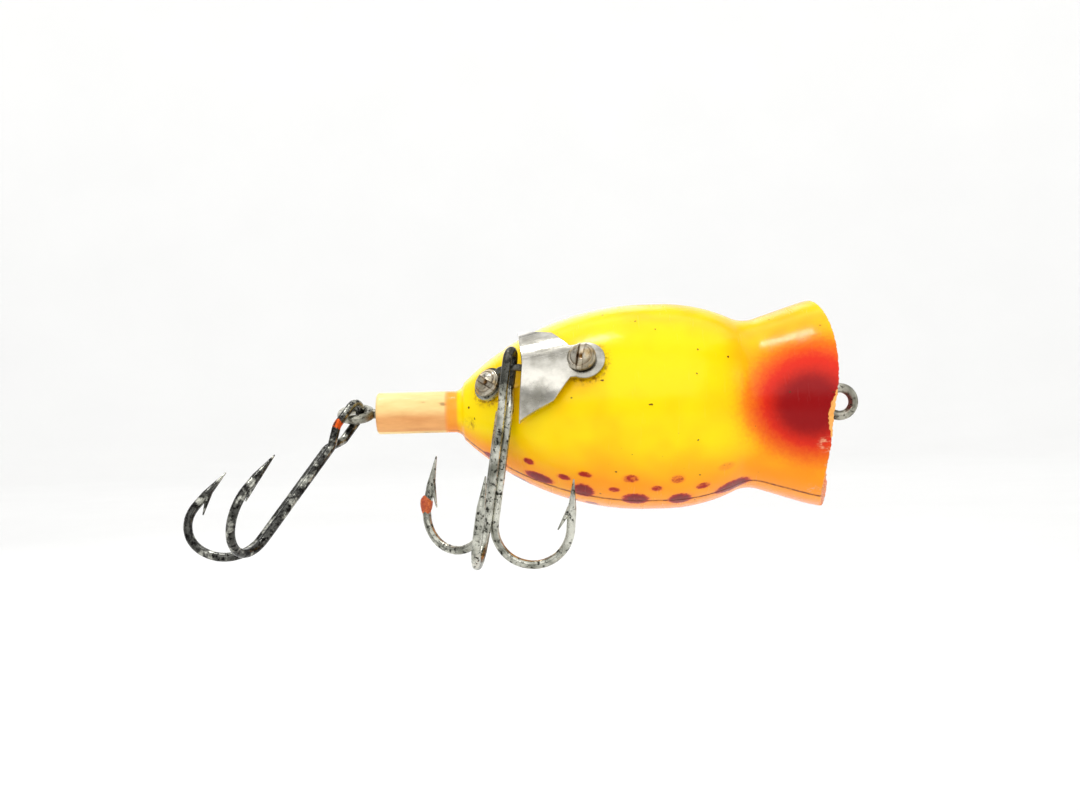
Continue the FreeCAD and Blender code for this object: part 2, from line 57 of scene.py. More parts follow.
# Hull outlines: x, radius, and the radius of the arc to the next corner. An arc bulges to the left
# of the way the outline runs, or to its right if it is negative.
STEM_END = [(-57.1, 0.64, None), (-57.1, 2.15, 0.4)]
HULL = [(-56.7, 2.55, None), (-47.5, 2.55, -1.3), (-46.3, 3.55, TAIL_ARC),
        (TAIL_ARC_X, BULGE_RADIUS, None), (-22.0, BULGE_RADIUS, 20.0), (-13.3, 10.6, -4.2),
        (-10.5, 10.5, None), (-5.4, 12.15, 16.0), (0.6, 12.9, None)]
CUP = [(0.6, 12.1, None), (-5.5, 11.0, -6.34), (-9.8, 5.0, None), (-9.8, 0.64, None)]
HOLLOW = [(-17.0, 0.64, None), (-17.0, 2.4, None), (-11.4, 2.4, None), (-11.4, 8.8, None),
          (-13.9, 9.3, -18.6), (-22.0, 11.2, None), (-24.0, 11.2, -30.6), (-44.0, 3.75, None),
          (-44.0, 0.64, None)]
STEM_END_STEP, HULL_STEP, CUP_STEP, HOLLOW_STEP = 0.15, 0.25, 0.35, 2.0

# The mouth's face is scooped by a cylinder. In front of the stretch places the outlines' points
# are spread out or pushed together to end at the rim.
SCOOP_X, SCOOP_HEIGHT, SCOOP_RADIUS = 28.7, 3.4, 32.5
HULL_STRETCH_FROM, CUP_STRETCH_FROM = -11.0, -5.5
RIM_GUESS, RIM_PASSES = 12.5, 8
LIP_ROUND = 0.22
LIP_SHARE = 0.25

# Chips in the rim: angle, half width in degrees, depth. The rest of the rim ripples a little.
RIM_CHIPS = [(-112, 4, 0.5), (-33, 13, 0.28), (60, 5, 0.15), (150, 9, 0.3), (-160, 6, 0.2)]
RIM_RIPPLE = 0.04
CUP_CHIP_SHARE = 0.6

# The dimple below the treble's eye is part of a ball: x, height above the axis, radius.
DIMPLE_X, DIMPLE_HEIGHT, DIMPLE_RADIUS = -40.5, 10.2, 2.4

# The seam's edges are rounded over the last part of each half: degrees, and how far they drop.
SEAM_EDGE = 0.5
SEAM_DROP = 0.07

# What a row of the hull's section is, where it has no distance from the rim.
INSIDE, AT_STEM_END = -1.0, -2.0

# Airbrushed spots on the flank below the belly: x, angle, half length, half width, strength.
SPOTS = [(-43.1, -91, 0.8, 0.9, 0.8), (-41.6, -88, 0.5, 0.6, 0.8), (-38.5, -69, 0.6, 0.5, 0.8),
         (-37.3, -84, 1.6, 0.9, 1.0), (-34.4, -75, 0.75, 0.5, 0.75), (-31.9, -69, 0.8, 0.45, 0.7),
         (-32.1, -85, 1.2, 1.4, 1.0), (-28.5, -79, 0.65, 0.5, 0.75), (-26.6, -69, 0.9, 0.65, 0.6),
         (-25.9, -88, 1.5, 1.3, 1.0), (-23.5, -77, 0.7, 0.55, 0.65), (-21.1, -70, 0.8, 0.65, 0.55),
         (-20.6, -89, 1.3, 1.3, 1.0), (-18.0, -78, 0.85, 0.6, 0.65), (-15.3, -66, 1.0, 0.6, 0.3),
         (-14.2, -89, 2.0, 1.3, 1.0)]

# Spots scattered over the back: how many, tries, gap between them, and the sizes drawn from.
BACK_SPOTS, BACK_TRIES, BACK_GAP = 62, 6000, 0.5
BACK_SIZES = (0.6, 0.8, 1.1, 1.5, 1.9)

# The airbrushed red of the throat and its dark middle: x, angle, half length, half angle.
BLUSH = (-6.0, -26.0, 9.8, 50.0)
BLUSH_CORE = (-6.0, -28.0, 5.8, 27.0)

# Where the rim's paint is worn off: angle, half width in degrees, how far back from the rim.
WORN_RIM = [(-33, 12.0, 0.75), (-112, 4.0, 0.5)]
WORN_EVERYWHERE = 0.05

# Brown stains round the screws, and scuffed patches near the rim and on the back: x, angle, radius.
SCREW_STAINS = [(-31.4, 0, 2.3), (-42.4, 0, 2.1), (-45.4, -47, 0.15)]
# The first patch, near the rim, is a pale painted highlight on a crease; the others are scuffed
# paint.
SCUFFS_AND_HIGHLIGHT = [(-4.0, -50, 1.3), (-4.6, -84, 1.5), (-3.6, -62, 0.6), (-14.5, 55, 1.0),
          (-5.0, 95, 1.4), (-4.0, 160, 1.6), (-20.0, 175, 1.1)]

# Slotted screws: the node, x on the belly, height of the seat, turn of the slot.
SCREWS = [("hanger_front_screw", -31.7, 1.36, 80.0), ("hanger_rear_screw", -42.7, 0.74, -42.0)]
HEAD_RADIUS, HEAD_HEIGHT, HEAD_CROWN = 1.7, 1.1, 2.3
HEAD_RIM, HEAD_ROUND = 0.35, 0.14
GROOVE_RADIUS, GROOVE_WIDTH, GROOVE_DEPTH = 1.28, 0.07, 0.1
SLOT_HALF, SLOT_FLOOR, SLOT_SLOPE = 0.32, 0.52, 0.03
PIT_RADIUS, PIT_DEPTH = 0.3, 0.14
BURR, WEAR = 0.06, 0.03
SHANK_OUTLINE = [(1.7, 0.0), (0.8, 0.0), (0.8, -4.0), (0.06, -5.0)]
HEAD_RINGS, HEAD_SIDES = 44, 144

# The lump of rust on the treble's left prong, below its barb: its middle, lean and half sizes.
LUMP_MIDDLE, LUMP_LEAN = Vector((-51.05, -3.0, -11.3)), math.radians(4.0)
LUMP_WIDTH, LUMP_LENGTH = 0.74, 1.35

# The hanger plate's edges: how far they are rounded, and the least fold that counts as an edge.
PLATE_ROUND, PLATE_FOLD = 0.12, math.radians(38.0)

# The stage is a round floor that bends up into a wall: sizes, and its sides and steps.
FLOOR_Z, STAGE_REACH, STAGE_BEND, STAGE_TOP = -62.0, 1700.0, 500.0, 1500.0
STAGE_SIDES, STAGE_STEPS = 72, 12

# Lights: name, place, target, width, height, watts.
LURE_MIDDLE = (-30.0, 0.0, 0.0)
LIGHTS = [("key_softbox", (-90.0, -370.0, 280.0), LURE_MIDDLE, 700.0, 460.0, 1.5),
          ("top_softbox", (-20.0, 40.0, 460.0), LURE_MIDDLE, 600.0, 500.0, 1.05),
          ("side_softbox", (420.0, -120.0, 120.0), LURE_MIDDLE, 260.0, 300.0, 0.35),
          ("back_softbox", (-160.0, 420.0, 260.0), LURE_MIDDLE, 360.0, 300.0, 0.4),
          ("glint_lamp", (-126.0, -20.0, 396.0), (-30.0, -9.0, 8.0), 55.0, 85.0, 0.5),
          ("wall_light", (0.0, 500.0, 900.0), (0.0, 1700.0, 200.0), 1800.0, 300.0, 12.0)]
STUDIO_GLOW, FLOOR_GLOW, EXPOSURE = 0.28, 0.3, -0.2

CAMERA_PLACE, CAMERA_ROLL = Vector((-37.0, -173.0, 0.55)), math.radians(-1.5)
LENS, SENSOR = 46.67, 36.0
CLIP_START, CLIP_END = 0.01, 20.0


# --- outlines ------------------------------------------------------------------------------------

def traced(outline, step):
    """Points along an outline, no further apart than the step, with its last corner at the end."""
    points = []
    for (x, r, arc), (next_x, next_r, _) in zip(outline, outline[1:]):
        start, end = Vector((x, r)), Vector((next_x, next_r))
        chord = end - start
        count = max(1, math.ceil(chord.length / step))
        for number in range(count):
            share = number / count
            place = start + chord * share
            if arc:
                left = Vector((-chord.y, chord.x)).normalized() * math.copysign(1.0, arc)
                half = chord.length / 2
                drop = math.sqrt(arc ** 2 - half ** 2)
                centre = start + chord / 2 - left * drop
                turn = 2 * math.asin(half / abs(arc)) * share * -math.copysign(1.0, arc)
                place = centre + Matrix.Rotation(turn, 2) @ (start - centre)
            points.append(place)
    points.append(Vector(outline[-1][:2]))
    return points


def radius_at(points, x):
    return float(np.interp(x, [p.x for p in points], [p.y for p in points]))


def smooth(value, low, high):
    """Smoothly from 0 at low to 1 at high, for numbers or arrays."""
    share = np.clip((value - low) / (high - low), 0.0, 1.0)
    return share * share * (3 - 2 * share)


def bell(distance, width):
    """A bell curve of height 1 for one number."""
    return math.exp(-(distance / width) ** 2)


def apart(angle, place):
    """Degrees between two angles about the axis, from -180 to 180, for numbers or arrays."""
    return (angle - place + 180.0) % 360.0 - 180.0


def scoop_x(radius, angle):
    """Where the scooped face of the mouth crosses a line at this radius and angle."""
    height = radius * math.cos(angle) - SCOOP_HEIGHT
    return SCOOP_X - math.sqrt(SCOOP_RADIUS ** 2 - height ** 2)


def chips(angle):
    """How far the rim is chipped back at this angle, in millimetres."""
    degrees = math.degrees(angle)
    depth = RIM_RIPPLE * (math.sin(degrees * 0.9) + math.sin(degrees * 2.3 + 1.0))
    for place, width, bite in RIM_CHIPS:
        depth += bite * bell(apart(degrees, place), width)
    return max(depth, 0.0)


def dimpled(x, radius, angle):
    """The radius after the dimple is taken out of the hull."""
    across = DIMPLE_HEIGHT * math.sin(angle)
    left = DIMPLE_RADIUS ** 2 - (x - DIMPLE_X) ** 2 - across ** 2
    if left <= 0 or math.cos(angle) <= 0:
        return radius
    return min(radius, DIMPLE_HEIGHT * math.cos(angle) - math.sqrt(left))


class HullSection:
    """The hull's closed section at one angle, as rows that match from angle to angle."""

    def __init__(self):
        self.end = traced(STEM_END + HULL[:1], STEM_END_STEP)[:-1]
        self.outer = traced(HULL, HULL_STEP)
        self.outer_fixed = [p for p in self.outer if p.x < HULL_STRETCH_FROM]
        self.outer_moved = [p for p in self.outer if p.x >= HULL_STRETCH_FROM]
        cup = traced(CUP, CUP_STEP)
        self.cup_moved = [p for p in cup if p.x >= CUP_STRETCH_FROM]
        self.cup_fixed = [p for p in cup if p.x < CUP_STRETCH_FROM]
        self.cup = cup[::-1]
        self.hollow = traced(HOLLOW, HOLLOW_STEP)

    def rim_and_lip(self, angle):
        """The two corners where the mouth's face cuts the hull and the cup."""
        rim_r = lip_r = RIM_GUESS
        bite = chips(angle)
        for _ in range(RIM_PASSES):
            rim_x = scoop_x(rim_r, angle) - bite
            rim_r = radius_at(self.outer, rim_x)
            lip_x = scoop_x(lip_r, angle) - bite * CUP_CHIP_SHARE
            lip_r = radius_at(self.cup, lip_x)
        return Vector((rim_x, rim_r)), Vector((lip_x, lip_r))

    def rows(self, angle):
        """The section's points (x, radius), each with its distance behind the rim or what it is."""
        rim, lip = self.rim_and_lip(angle)
        rows = [(p, AT_STEM_END) for p in self.end]
        rows += [(p, rim.x - p.x) for p in self.outer_fixed]
        for x in stretched_to(self.outer_moved, HULL_STRETCH_FROM, rim.x - LIP_ROUND):
            rows.append((Vector((x, radius_at(self.outer, x))), rim.x - x))
        across = lip - rim
        rows += [(p, 0.0) for p in rounded(rows[-1][0], rim, rim + across * LIP_SHARE,
                                           (0.3, 0.6, 1.0))]
        inward_x = lip.x - LIP_ROUND
        inward = Vector((inward_x, radius_at(self.cup, inward_x)))
        rows += [(p, 0.0) for p in rounded(rim + across * (1 - LIP_SHARE), lip, inward,
                                           (0.0, 0.4, 0.7))]
        for x in stretched_to(self.cup_moved, CUP_STRETCH_FROM, inward_x):
            rows.append((Vector((x, radius_at(self.cup, x))), INSIDE))
        rows += [(p, INSIDE) for p in self.cup_fixed + self.hollow]
        return rows


def stretched_to(points, start, end):
    """The points' x, moved so that the one furthest forward is at the end."""
    span = max(p.x for p in points) - start
    return [start + (p.x - start) / span * (end - start) for p in points]


def rounded(before, corner, after, shares):
    """Points at these shares of the curve that rounds a corner off."""
    return [before.lerp(corner, share).lerp(corner.lerp(after, share), share) for share in shares]


# --- meshes --------------------------------------------------------------------------------------

def finish_mesh(name, made, sharp=35.0):
    """Turn a bmesh into an object with smooth shading and sharp edges where it folds."""
    bmesh.ops.recalc_face_normals(made, faces=made.faces)
    mesh = bpy.data.meshes.new(name)
    made.to_mesh(mesh)
    made.free()
    mesh.shade_smooth()
    mesh.set_sharp_from_angle(angle=math.radians(sharp))
    piece = bpy.data.objects.new(name, mesh)
    bpy.context.scene.collection.objects.link(piece)
    return piece


def set_layer(mesh, name, values):
    """Store a number for each point, which a material reads by this name."""
    layer = mesh.attributes.new(name, "FLOAT", "POINT")
    layer.data.foreach_set("value", np.asarray(values, dtype=np.float32))


def back_spots():
    """Spots scattered over the back, none touching another or the ones on the flank."""
    spots = list(SPOTS)
    tries = 0
    while len(spots) < len(SPOTS) + BACK_SPOTS and tries < BACK_TRIES:
        tries += 1
        x = RANDOM.uniform(-43.5, -13.0)
        angle = RANDOM.uniform(-262.0, -96.0)
        length = RANDOM.choice(BACK_SIZES)
        width = length * RANDOM.uniform(0.65, 0.9)
        radius = radius_at(SECTION.outer, x)
        if all(math.hypot(x - other_x, radius * math.radians(angle - other_angle))
               > length + other_length + BACK_GAP
               for other_x, other_angle, other_length, _, _ in spots):
            spots.append((x, angle, length, width, 0.7 + 0.3 * min(1.0, length)))
    return spots


def over_hull(x, angle, radius, place, turn):
    """How far each point is along and round the hull from a place on it, in millimetres."""
    return x - place, radius * np.radians(apart(angle, turn))


def in_ellipse(x, angle, ellipse):
    """How far each point is from an ellipse's middle, where 1 is on its edge."""
    place, turn, half_length, half_angle = ellipse
    return np.hypot((x - place) / half_length, apart(angle, turn) / half_angle)


def spot_share(x, angle, radius):
    """Soft-edged airbrushed spots."""
    share = np.zeros(len(x))
    for place, turn, length, width, strength in back_spots():
        along, around = over_hull(x, angle, radius, place, turn)
        reach = np.hypot(along / length, around / width)
        share = np.maximum(share, strength * smooth(reach, 1.45, 0.65))
    return share


def patch_share(x, angle, radius, patches, outer, inner):
    """Round patches, each fading in between two radii worked out from its size."""
    share = np.zeros(len(x))
    for place, turn, size in patches:
        gap = np.hypot(*over_hull(x, angle, radius, place, turn))
        share = np.maximum(share, smooth(gap, outer(size), inner(size)))
    return share


def worn_share(angle, from_rim):
    """Where the rim's paint is worn off, wholly in places and faintly along its very edge."""
    width = WORN_EVERYWHERE
    for turn, half_width, extra in WORN_RIM:
        width = width + extra * np.exp(-(apart(angle, turn) / half_width) ** 2)
    share = smooth(from_rim, width, width * 0.6) * (from_rim >= 0)
    return np.where((from_rim >= 0) & (from_rim < 0.02) & (width < 0.3), 0.42, share)


def paint_layers(mesh, x, angle, radius, from_rim):
    """Store where each paint lies, as shares from 0 to 1 that the paint material reads."""
    outside = from_rim >= 0
    from_belly = abs(apart(angle, 0))
    from_seam = np.minimum(abs(apart(angle, 90)), abs(apart(angle, -90)))
    spots = spot_share(x, angle, radius) * smooth(x, -9.5, -10.5)
    stains = patch_share(x, angle, radius, SCREW_STAINS, lambda r: r + 0.9, lambda r: r - 0.1)
    # Scuffed patches, and one pale painted highlight near the rim.
    scuffs_and_highlight = patch_share(x, angle, radius, SCUFFS_AND_HIGHLIGHT, lambda r: r, lambda r: r * 0.4)
    blush = smooth(in_ellipse(x, angle, BLUSH), 1.1, 0.0)
    core = smooth(in_ellipse(x, angle, BLUSH_CORE), 1.1, 0.2)
    set_layer(mesh, "spot", spots * outside)
    set_layer(mesh, "blush", blush * outside)
    set_layer(mesh, "core", core * outside)
    set_layer(mesh, "worn", worn_share(angle, from_rim))
    set_layer(mesh, "stain", stains * outside)
    set_layer(mesh, "scuff_and_highlight", scuffs_and_highlight * outside)
    set_layer(mesh, "seam", smooth(radius * np.radians(from_seam), 0.28, 0.08) * outside)
    set_layer(mesh, "stem", np.maximum(smooth(x, -48.1, -48.5), from_rim == AT_STEM_END))
    set_layer(mesh, "ring", smooth(x, -48.7, -48.4) * smooth(x, -46.9, -47.3))
    set_layer(mesh, "inside", from_rim == INSIDE)
    set_layer(mesh, "flank", smooth(from_belly, 38, 80))
    set_layer(mesh, "back", smooth(from_belly, 88, 128))
    # Painted shade: the lower side as seen, where the stem turns tan.
    set_layer(mesh, "under", smooth(angle, -14, -44) * smooth(angle, -200, -150))
    set_layer(mesh, "flare", smooth(x, -18.5, -9.0) * outside * smooth(angle, 52, 22))


def hull_half(name, node, centre):
    """One moulded half: the section swept through half a turn, closed by flat faces at the seam."""
    first_edge = [0.0, SEAM_EDGE * 0.5, SEAM_EDGE]
    turns = first_edge + [1.0 + step for step in range(179)]
    turns += [180.0 - turn for turn in reversed(first_edge)]
    made = bmesh.new()
    places, columns = [], []
    for turn in turns:
        degrees = centre - 90.0 + turn
        angle = math.radians(degrees)
        out = BELLY * math.cos(angle) + SIDE * math.sin(angle)
        edge = min(turn, 180.0 - turn)
        drop = SEAM_DROP * (1.0 - min(1.0, edge / SEAM_EDGE)) ** 2
        column = []
        for point, from_rim in SECTION.rows(angle):
            radius = dimpled(point.x, point.y, angle)
            if from_rim >= 0:
                radius -= drop
            column.append(made.verts.new((Vector((point.x, 0, 0)) + out * radius) * MM))
            places.append((point.x, degrees, point.y, from_rim))
        columns.append(column)
    count = len(columns[0])
    for first, second in zip(columns, columns[1:]):
        for row in range(count):
            following = (row + 1) % count
            made.faces.new((first[row], first[following], second[following], second[row]))
    made.faces.new(columns[0])
    made.faces.new(columns[-1][::-1])
    piece = finish_mesh(name, made)
    paint_layers(piece.data, *(np.array(values) for values in zip(*places)))
    piece.data.materials.append(MATERIALS["painted_plastic"])
    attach(piece, "lure")
    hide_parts(node)


def head_height(u, v, seed):
    """Height of a worn screw head over its seat: a dome with a turned groove and a slot along u."""
    radius = math.hypot(u, v)
    dome = HEAD_HEIGHT - HEAD_CROWN + math.sqrt(HEAD_CROWN ** 2 - radius ** 2)
    dome -= GROOVE_DEPTH * bell(radius - GROOVE_RADIUS, GROOVE_WIDTH)
    dome += WEAR * noise.noise(Vector((u * 1.7, v * 1.7, seed)))
    edge = float(smooth(radius, HEAD_RADIUS - HEAD_ROUND, HEAD_RADIUS))
    dome = dome * (1 - edge) + min(dome, HEAD_RIM) * edge
    gap = abs(v + WEAR * noise.noise(Vector((u * 3.0, seed, 0.0))))
    burr = BURR * bell(gap - SLOT_HALF - BURR, BURR)
    floor = SLOT_FLOOR - PIT_DEPTH * bell(radius, PIT_RADIUS)
    inside = float(smooth(gap, SLOT_HALF + SLOT_SLOPE, SLOT_HALF - SLOT_SLOPE))
    return (dome + burr) * (1 - inside) + min(floor, dome) * inside


def grime_and_shade(u, v):
    """How much brown lies here on a head: a brown spot at its middle, and painted shade along its
    slot and in its groove.
    """
    radius = math.hypot(u, v)
    middle = math.exp(-(radius / 0.42) ** 4)
    # Painted shade along the slot's edges and in the turned groove.
    corner = 0.6 * bell(abs(v) - SLOT_HALF, 0.07)
    turned = 0.45 * bell(radius - GROOVE_RADIUS, 0.09)
    return max(middle, corner, turned)


def screw(node, x, lift, turn):
    """A slotted screw: its head as a fine height field, and its shank down to the tip."""
    slope = math.asin((TAIL_ARC_X - x) / TAIL_ARC)
    radius = BULGE_RADIUS - TAIL_ARC * (1 - math.cos(slope))
    forward = Vector((math.cos(slope), 0, 0)) + BELLY * math.sin(slope)
    out = Vector((-math.sin(slope), 0, 0)) + BELLY * math.cos(slope)
    seat = Vector((x, 0, 0)) + BELLY * radius + out * lift
    spin = math.radians(turn)
    along = forward * math.cos(spin) + SIDE * math.sin(spin)
    across = SIDE * math.cos(spin) - forward * math.sin(spin)
    made = bmesh.new()

    def vertex(u, v, height):
        return made.verts.new((seat + along * u + across * v + out * height) * MM)

    turns = [math.tau * side / HEAD_SIDES for side in range(HEAD_SIDES)]
    rings = []
    for number in range(1, HEAD_RINGS + 1):
        reach = HEAD_RADIUS * number / HEAD_RINGS
        places = [(reach * math.cos(a), reach * math.sin(a)) for a in turns]
        rings.append([vertex(u, v, head_height(u, v, x)) for u, v in places])
    for reach, height in SHANK_OUTLINE:
        rings.append([vertex(reach * math.cos(a), reach * math.sin(a), height) for a in turns])
    top, tip = vertex(0, 0, head_height(0, 0, x)), vertex(0, 0, SHANK_OUTLINE[-1][1])
    for side in range(HEAD_SIDES):
        following = (side + 1) % HEAD_SIDES
        made.faces.new((top, rings[0][side], rings[0][following]))
        for inner, outer in zip(rings, rings[1:]):
            made.faces.new((inner[side], outer[side], outer[following], inner[following]))
        made.faces.new((rings[-1][side], tip, rings[-1][following]))
    from_seat = [vert.co * PER_MM - seat for vert in made.verts]
    piece = finish_mesh(node + "_finished", made, 50.0)
    set_layer(piece.data, "grime_and_shade", [grime_and_shade(p.dot(along), p.dot(across)) for p in from_seat])
    piece.data.materials.append(MATERIALS["nickel_screw"])
    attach(piece, "lure")
    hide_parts(node)


def rust_lump():
    """A lump of rust grown round the treble's left prong, thicker at its top."""
    lean = Matrix.Rotation(LUMP_LEAN, 3, "Y")
    made = bmesh.new()
    bmesh.ops.create_icosphere(made, subdivisions=5, radius=1.0)
    for vert in made.verts:
        place = vert.co.copy()
        swell = 1.0 + 0.16 * noise.noise(place * 1.6) + 0.05 * noise.noise(place * 5.0)
        width = LUMP_WIDTH * swell * (1.0 + 0.22 * place.z)
        shaped = Vector((place.x * width, place.y * width, place.z * LUMP_LENGTH * swell))
        vert.co = (LUMP_MIDDLE + lean @ shaped) * MM
    piece = finish_mesh("belly_hook_rust_lump", made)
    piece.data.materials.append(MATERIALS["rust_crust"])
    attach(piece, "belly_hook")


def hanger_plate():
    """The hanger's plate: a copy of its CAD mesh with the sharp edges rounded off."""
    made = bmesh.new()
    made.from_mesh(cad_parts["hanger_flap_plate"].data)
    bmesh.ops.remove_doubles(made, verts=made.verts, dist=0.002 * MM)
    bmesh.ops.dissolve_limit(made, angle_limit=math.radians(0.6), verts=made.verts,
                             edges=made.edges)
    piece = finish_mesh("hanger_flap_plate_finished", made, math.degrees(PLATE_FOLD))
    rounding = piece.modifiers.new("edges", "BEVEL")
    rounding.width = PLATE_ROUND * MM
    rounding.segments = 3
    rounding.limit_method = "ANGLE"
    rounding.angle_limit = PLATE_FOLD
    rounding.harden_normals = True
    piece.data.materials.clear()
    piece.data.materials.append(MATERIALS["nickel_sheet"])
    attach(piece, "lure")
    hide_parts("hanger_flap_plate")


# --- materials -----------------------------------------------------------------------------------

class Surface:
    """A material being wired up: each call adds one node and returns its output."""

    def __init__(self, name):
        self.material = bpy.data.materials.new(name)
        self.material.use_nodes = True
        self.tree = self.material.node_tree
        self.shader = self.tree.nodes["Principled BSDF"]
        self.place = self.tree.nodes.new("ShaderNodeTexCoord").outputs["Object"]

    def feed(self, socket, value):
        """Link a socket to another node's output, or set its value."""
        if isinstance(value, bpy.types.NodeSocket):
            self.tree.links.new(value, socket)
        else:
            socket.default_value = value

    def node(self, kind, inputs, output=0, **settings):
        made = self.tree.nodes.new(kind)
        for name, value in settings.items():
            setattr(made, name, value)
        for name, value in inputs.items():
            self.feed(made.inputs[name], value)
        return made.outputs[output]

    def noise(self, per_mm, detail=3.0, roughness=0.55, place=None):
        return self.node("ShaderNodeTexNoise", {"Vector": place or self.place,
                                                "Scale": per_mm * PER_MM,
                                                "Detail": detail, "Roughness": roughness})

    def stretched(self, x, y, z):
        """The place on the object with each axis scaled, for grain that runs one way."""
        return self.node("ShaderNodeMapping", {"Vector": self.place, "Scale": (x, y, z)})

    def step(self, value, low, high, to_low=0.0, to_high=1.0):
        """Smoothly from to_low, where the value is low or less, to to_high."""
        return self.node("ShaderNodeMapRange", {"Value": value, "From Min": low, "From Max": high,
                                                "To Min": to_low, "To Max": to_high},
                         interpolation_type="SMOOTHSTEP")

    def sums(self, operation, first, second):
        """Arithmetic whose result is kept from 0 to 1."""
        return self.node("ShaderNodeMath", {0: first, 1: second}, operation=operation,
                         use_clamp=True)

    def layer(self, name):
        """A share that was stored in the mesh by set_layer."""
        return self.node("ShaderNodeAttribute", {}, "Fac", attribute_name=name)

    def frayed(self, name, grain, amount):
        """A stored layer whose edges are broken up by the grain."""
        return self.sums("ADD", self.layer(name), self.step(grain, 0.3, 0.7, -amount, amount))

    def patchy(self, name, share):
        """A stored layer that is thinned by another share."""
        return self.sums("MULTIPLY", self.layer(name), share)

    def mix(self, share, first, second):
        made = self.tree.nodes.new("ShaderNodeMix")
        made.data_type = "RGBA"
        for place, value in ((0, share), (6, first), (7, second)):
            self.feed(made.inputs[place], value)
        return made.outputs[2]

    def bump(self, height, depth, strength=1.0, normal=None):
        """A bump whose full height is the stated depth in millimetres."""
        inputs = {"Height": height, "Distance": depth * MM, "Strength": strength}
        if normal:
            inputs["Normal"] = normal
        return self.node("ShaderNodeBump", inputs)

    def finish(self, colour, roughness, normal, **fixed):
        """Wire up the shader; fixed values are the same all over the surface."""
        for name, value in (("Base Color", colour), ("Roughness", roughness), ("Normal", normal)):
            self.tree.links.new(value, self.shader.inputs[name])
        for name, value in fixed.items():
            self.shader.inputs[name.replace("_", " ")].default_value = value
        return self.material


def rgb(red, green, blue):
    """A colour from 0-255 screen values to the linear values that shaders use."""
    linear = []
    for value in (red, green, blue):
        share = value / 255
        linear.append(share / 12.92 if share <= 0.04045 else ((share + 0.055) / 1.055) ** 2.4)
    return (*linear, 1.0)


BELLY_YELLOW, BELLY_AMBER = rgb(255, 222, 0), rgb(255, 204, 0)
FLANK_ORANGE, BACK_ORANGE, FLARE_ORANGE = rgb(255, 158, 18), rgb(244, 112, 16), rgb(255, 150, 10)
SPOT_HAZE, SPOT_RED, SPOT_DARK = rgb(246, 112, 40), rgb(172, 32, 22), rgb(112, 12, 16)
BLUSH_ORANGE, BLUSH_RED, CORE_RED = rgb(248, 118, 18), rgb(222, 40, 16), rgb(146, 2, 6)
# The scuffed patches' pale colour also paints a highlight near the rim.
STAIN_BROWN, SCUFF_AND_HIGHLIGHT_PALE = rgb(140, 74, 14), rgb(250, 196, 150)
SEAM_BROWN, SPECK_BROWN = rgb(112, 26, 8), rgb(96, 40, 8)
CUP_RED, CUP_ROSE = rgb(168, 26, 40), rgb(196, 62, 70)
BARE_LIGHT, BARE_DARK = rgb(252, 190, 108), rgb(240, 160, 74)
# The stem: cream for its lit top, and tan as painted shade on its lower side.
STEM_CREAM, STEM_CREAM_DARK = rgb(255, 226, 158), rgb(250, 210, 140)
STEM_SHADED_TAN, STEM_SHADED_TAN_DARK = rgb(244, 180, 114), rgb(226, 158, 96)
STEM_DIRT, STEM_RING = rgb(120, 72, 40), rgb(250, 150, 60)
# The rubbed steel also paints highlights along the tail hook's shank.
# The screws' brown also paints shade in their slots and grooves.
# The treble's black is painted shade under the hanger's plate.
BRASS, GRIME_AND_SHADE_BROWN, HOOK_SHADE_BLACK, RUBBED_STEEL_AND_HIGHLIGHT = (rgb(196, 160, 90), rgb(92, 62, 24),
                                                rgb(58, 58, 54), rgb(204, 204, 192))
RUST, RUST_LIGHT, RUST_DARK, RUST_PIT = (rgb(196, 82, 30), rgb(216, 112, 44), rgb(158, 52, 22),
                                         rgb(104, 34, 18))
FLOOR_LIGHT, FLOOR_DARK = rgb(214, 214, 213), rgb(208, 208, 207)


def base_coat(paint):
    """Yellow belly, orange flanks and a deeper orange back, with clouds in the lacquer."""
    cloud = paint.noise(0.12, 2.0)
    colour = paint.mix(paint.step(cloud, 0.35, 0.7), BELLY_YELLOW, BELLY_AMBER)
    flank = paint.sums("ADD", paint.layer("flank"), paint.step(cloud, 0.3, 0.8, -0.15, 0.15))
    colour = paint.mix(flank, colour, FLANK_ORANGE)
    colour = paint.mix(paint.layer("back"), colour, BACK_ORANGE)
    flare = paint.patchy("flare", paint.step(cloud, 0.25, 0.6, 0.35, 0.8))
    return paint.mix(flare, colour, FLARE_ORANGE)


def airbrushed(paint, colour, grain, spots):
    """The red throat, its dark middle, and the spots with their haze."""
    colour = paint.mix(paint.step(paint.layer("spot"), 0.0, 0.5, 0.0, 0.55), colour, SPOT_HAZE)
    blush = paint.frayed("blush", grain, 0.03)
    colour = paint.mix(paint.step(blush, 0.0, 0.35, 0.0, 0.75), colour, BLUSH_ORANGE)
    colour = paint.mix(paint.step(blush, 0.12, 0.62), colour, BLUSH_RED)
    core = paint.frayed("core", grain, 0.04)
    colour = paint.mix(paint.step(core, 0.02, 0.85), colour, CORE_RED)
    colour = paint.mix(paint.step(spots, 0.28, 0.72), colour, SPOT_RED)
    return paint.mix(paint.step(spots, 0.72, 1.0, 0.0, 0.8), colour, SPOT_DARK)


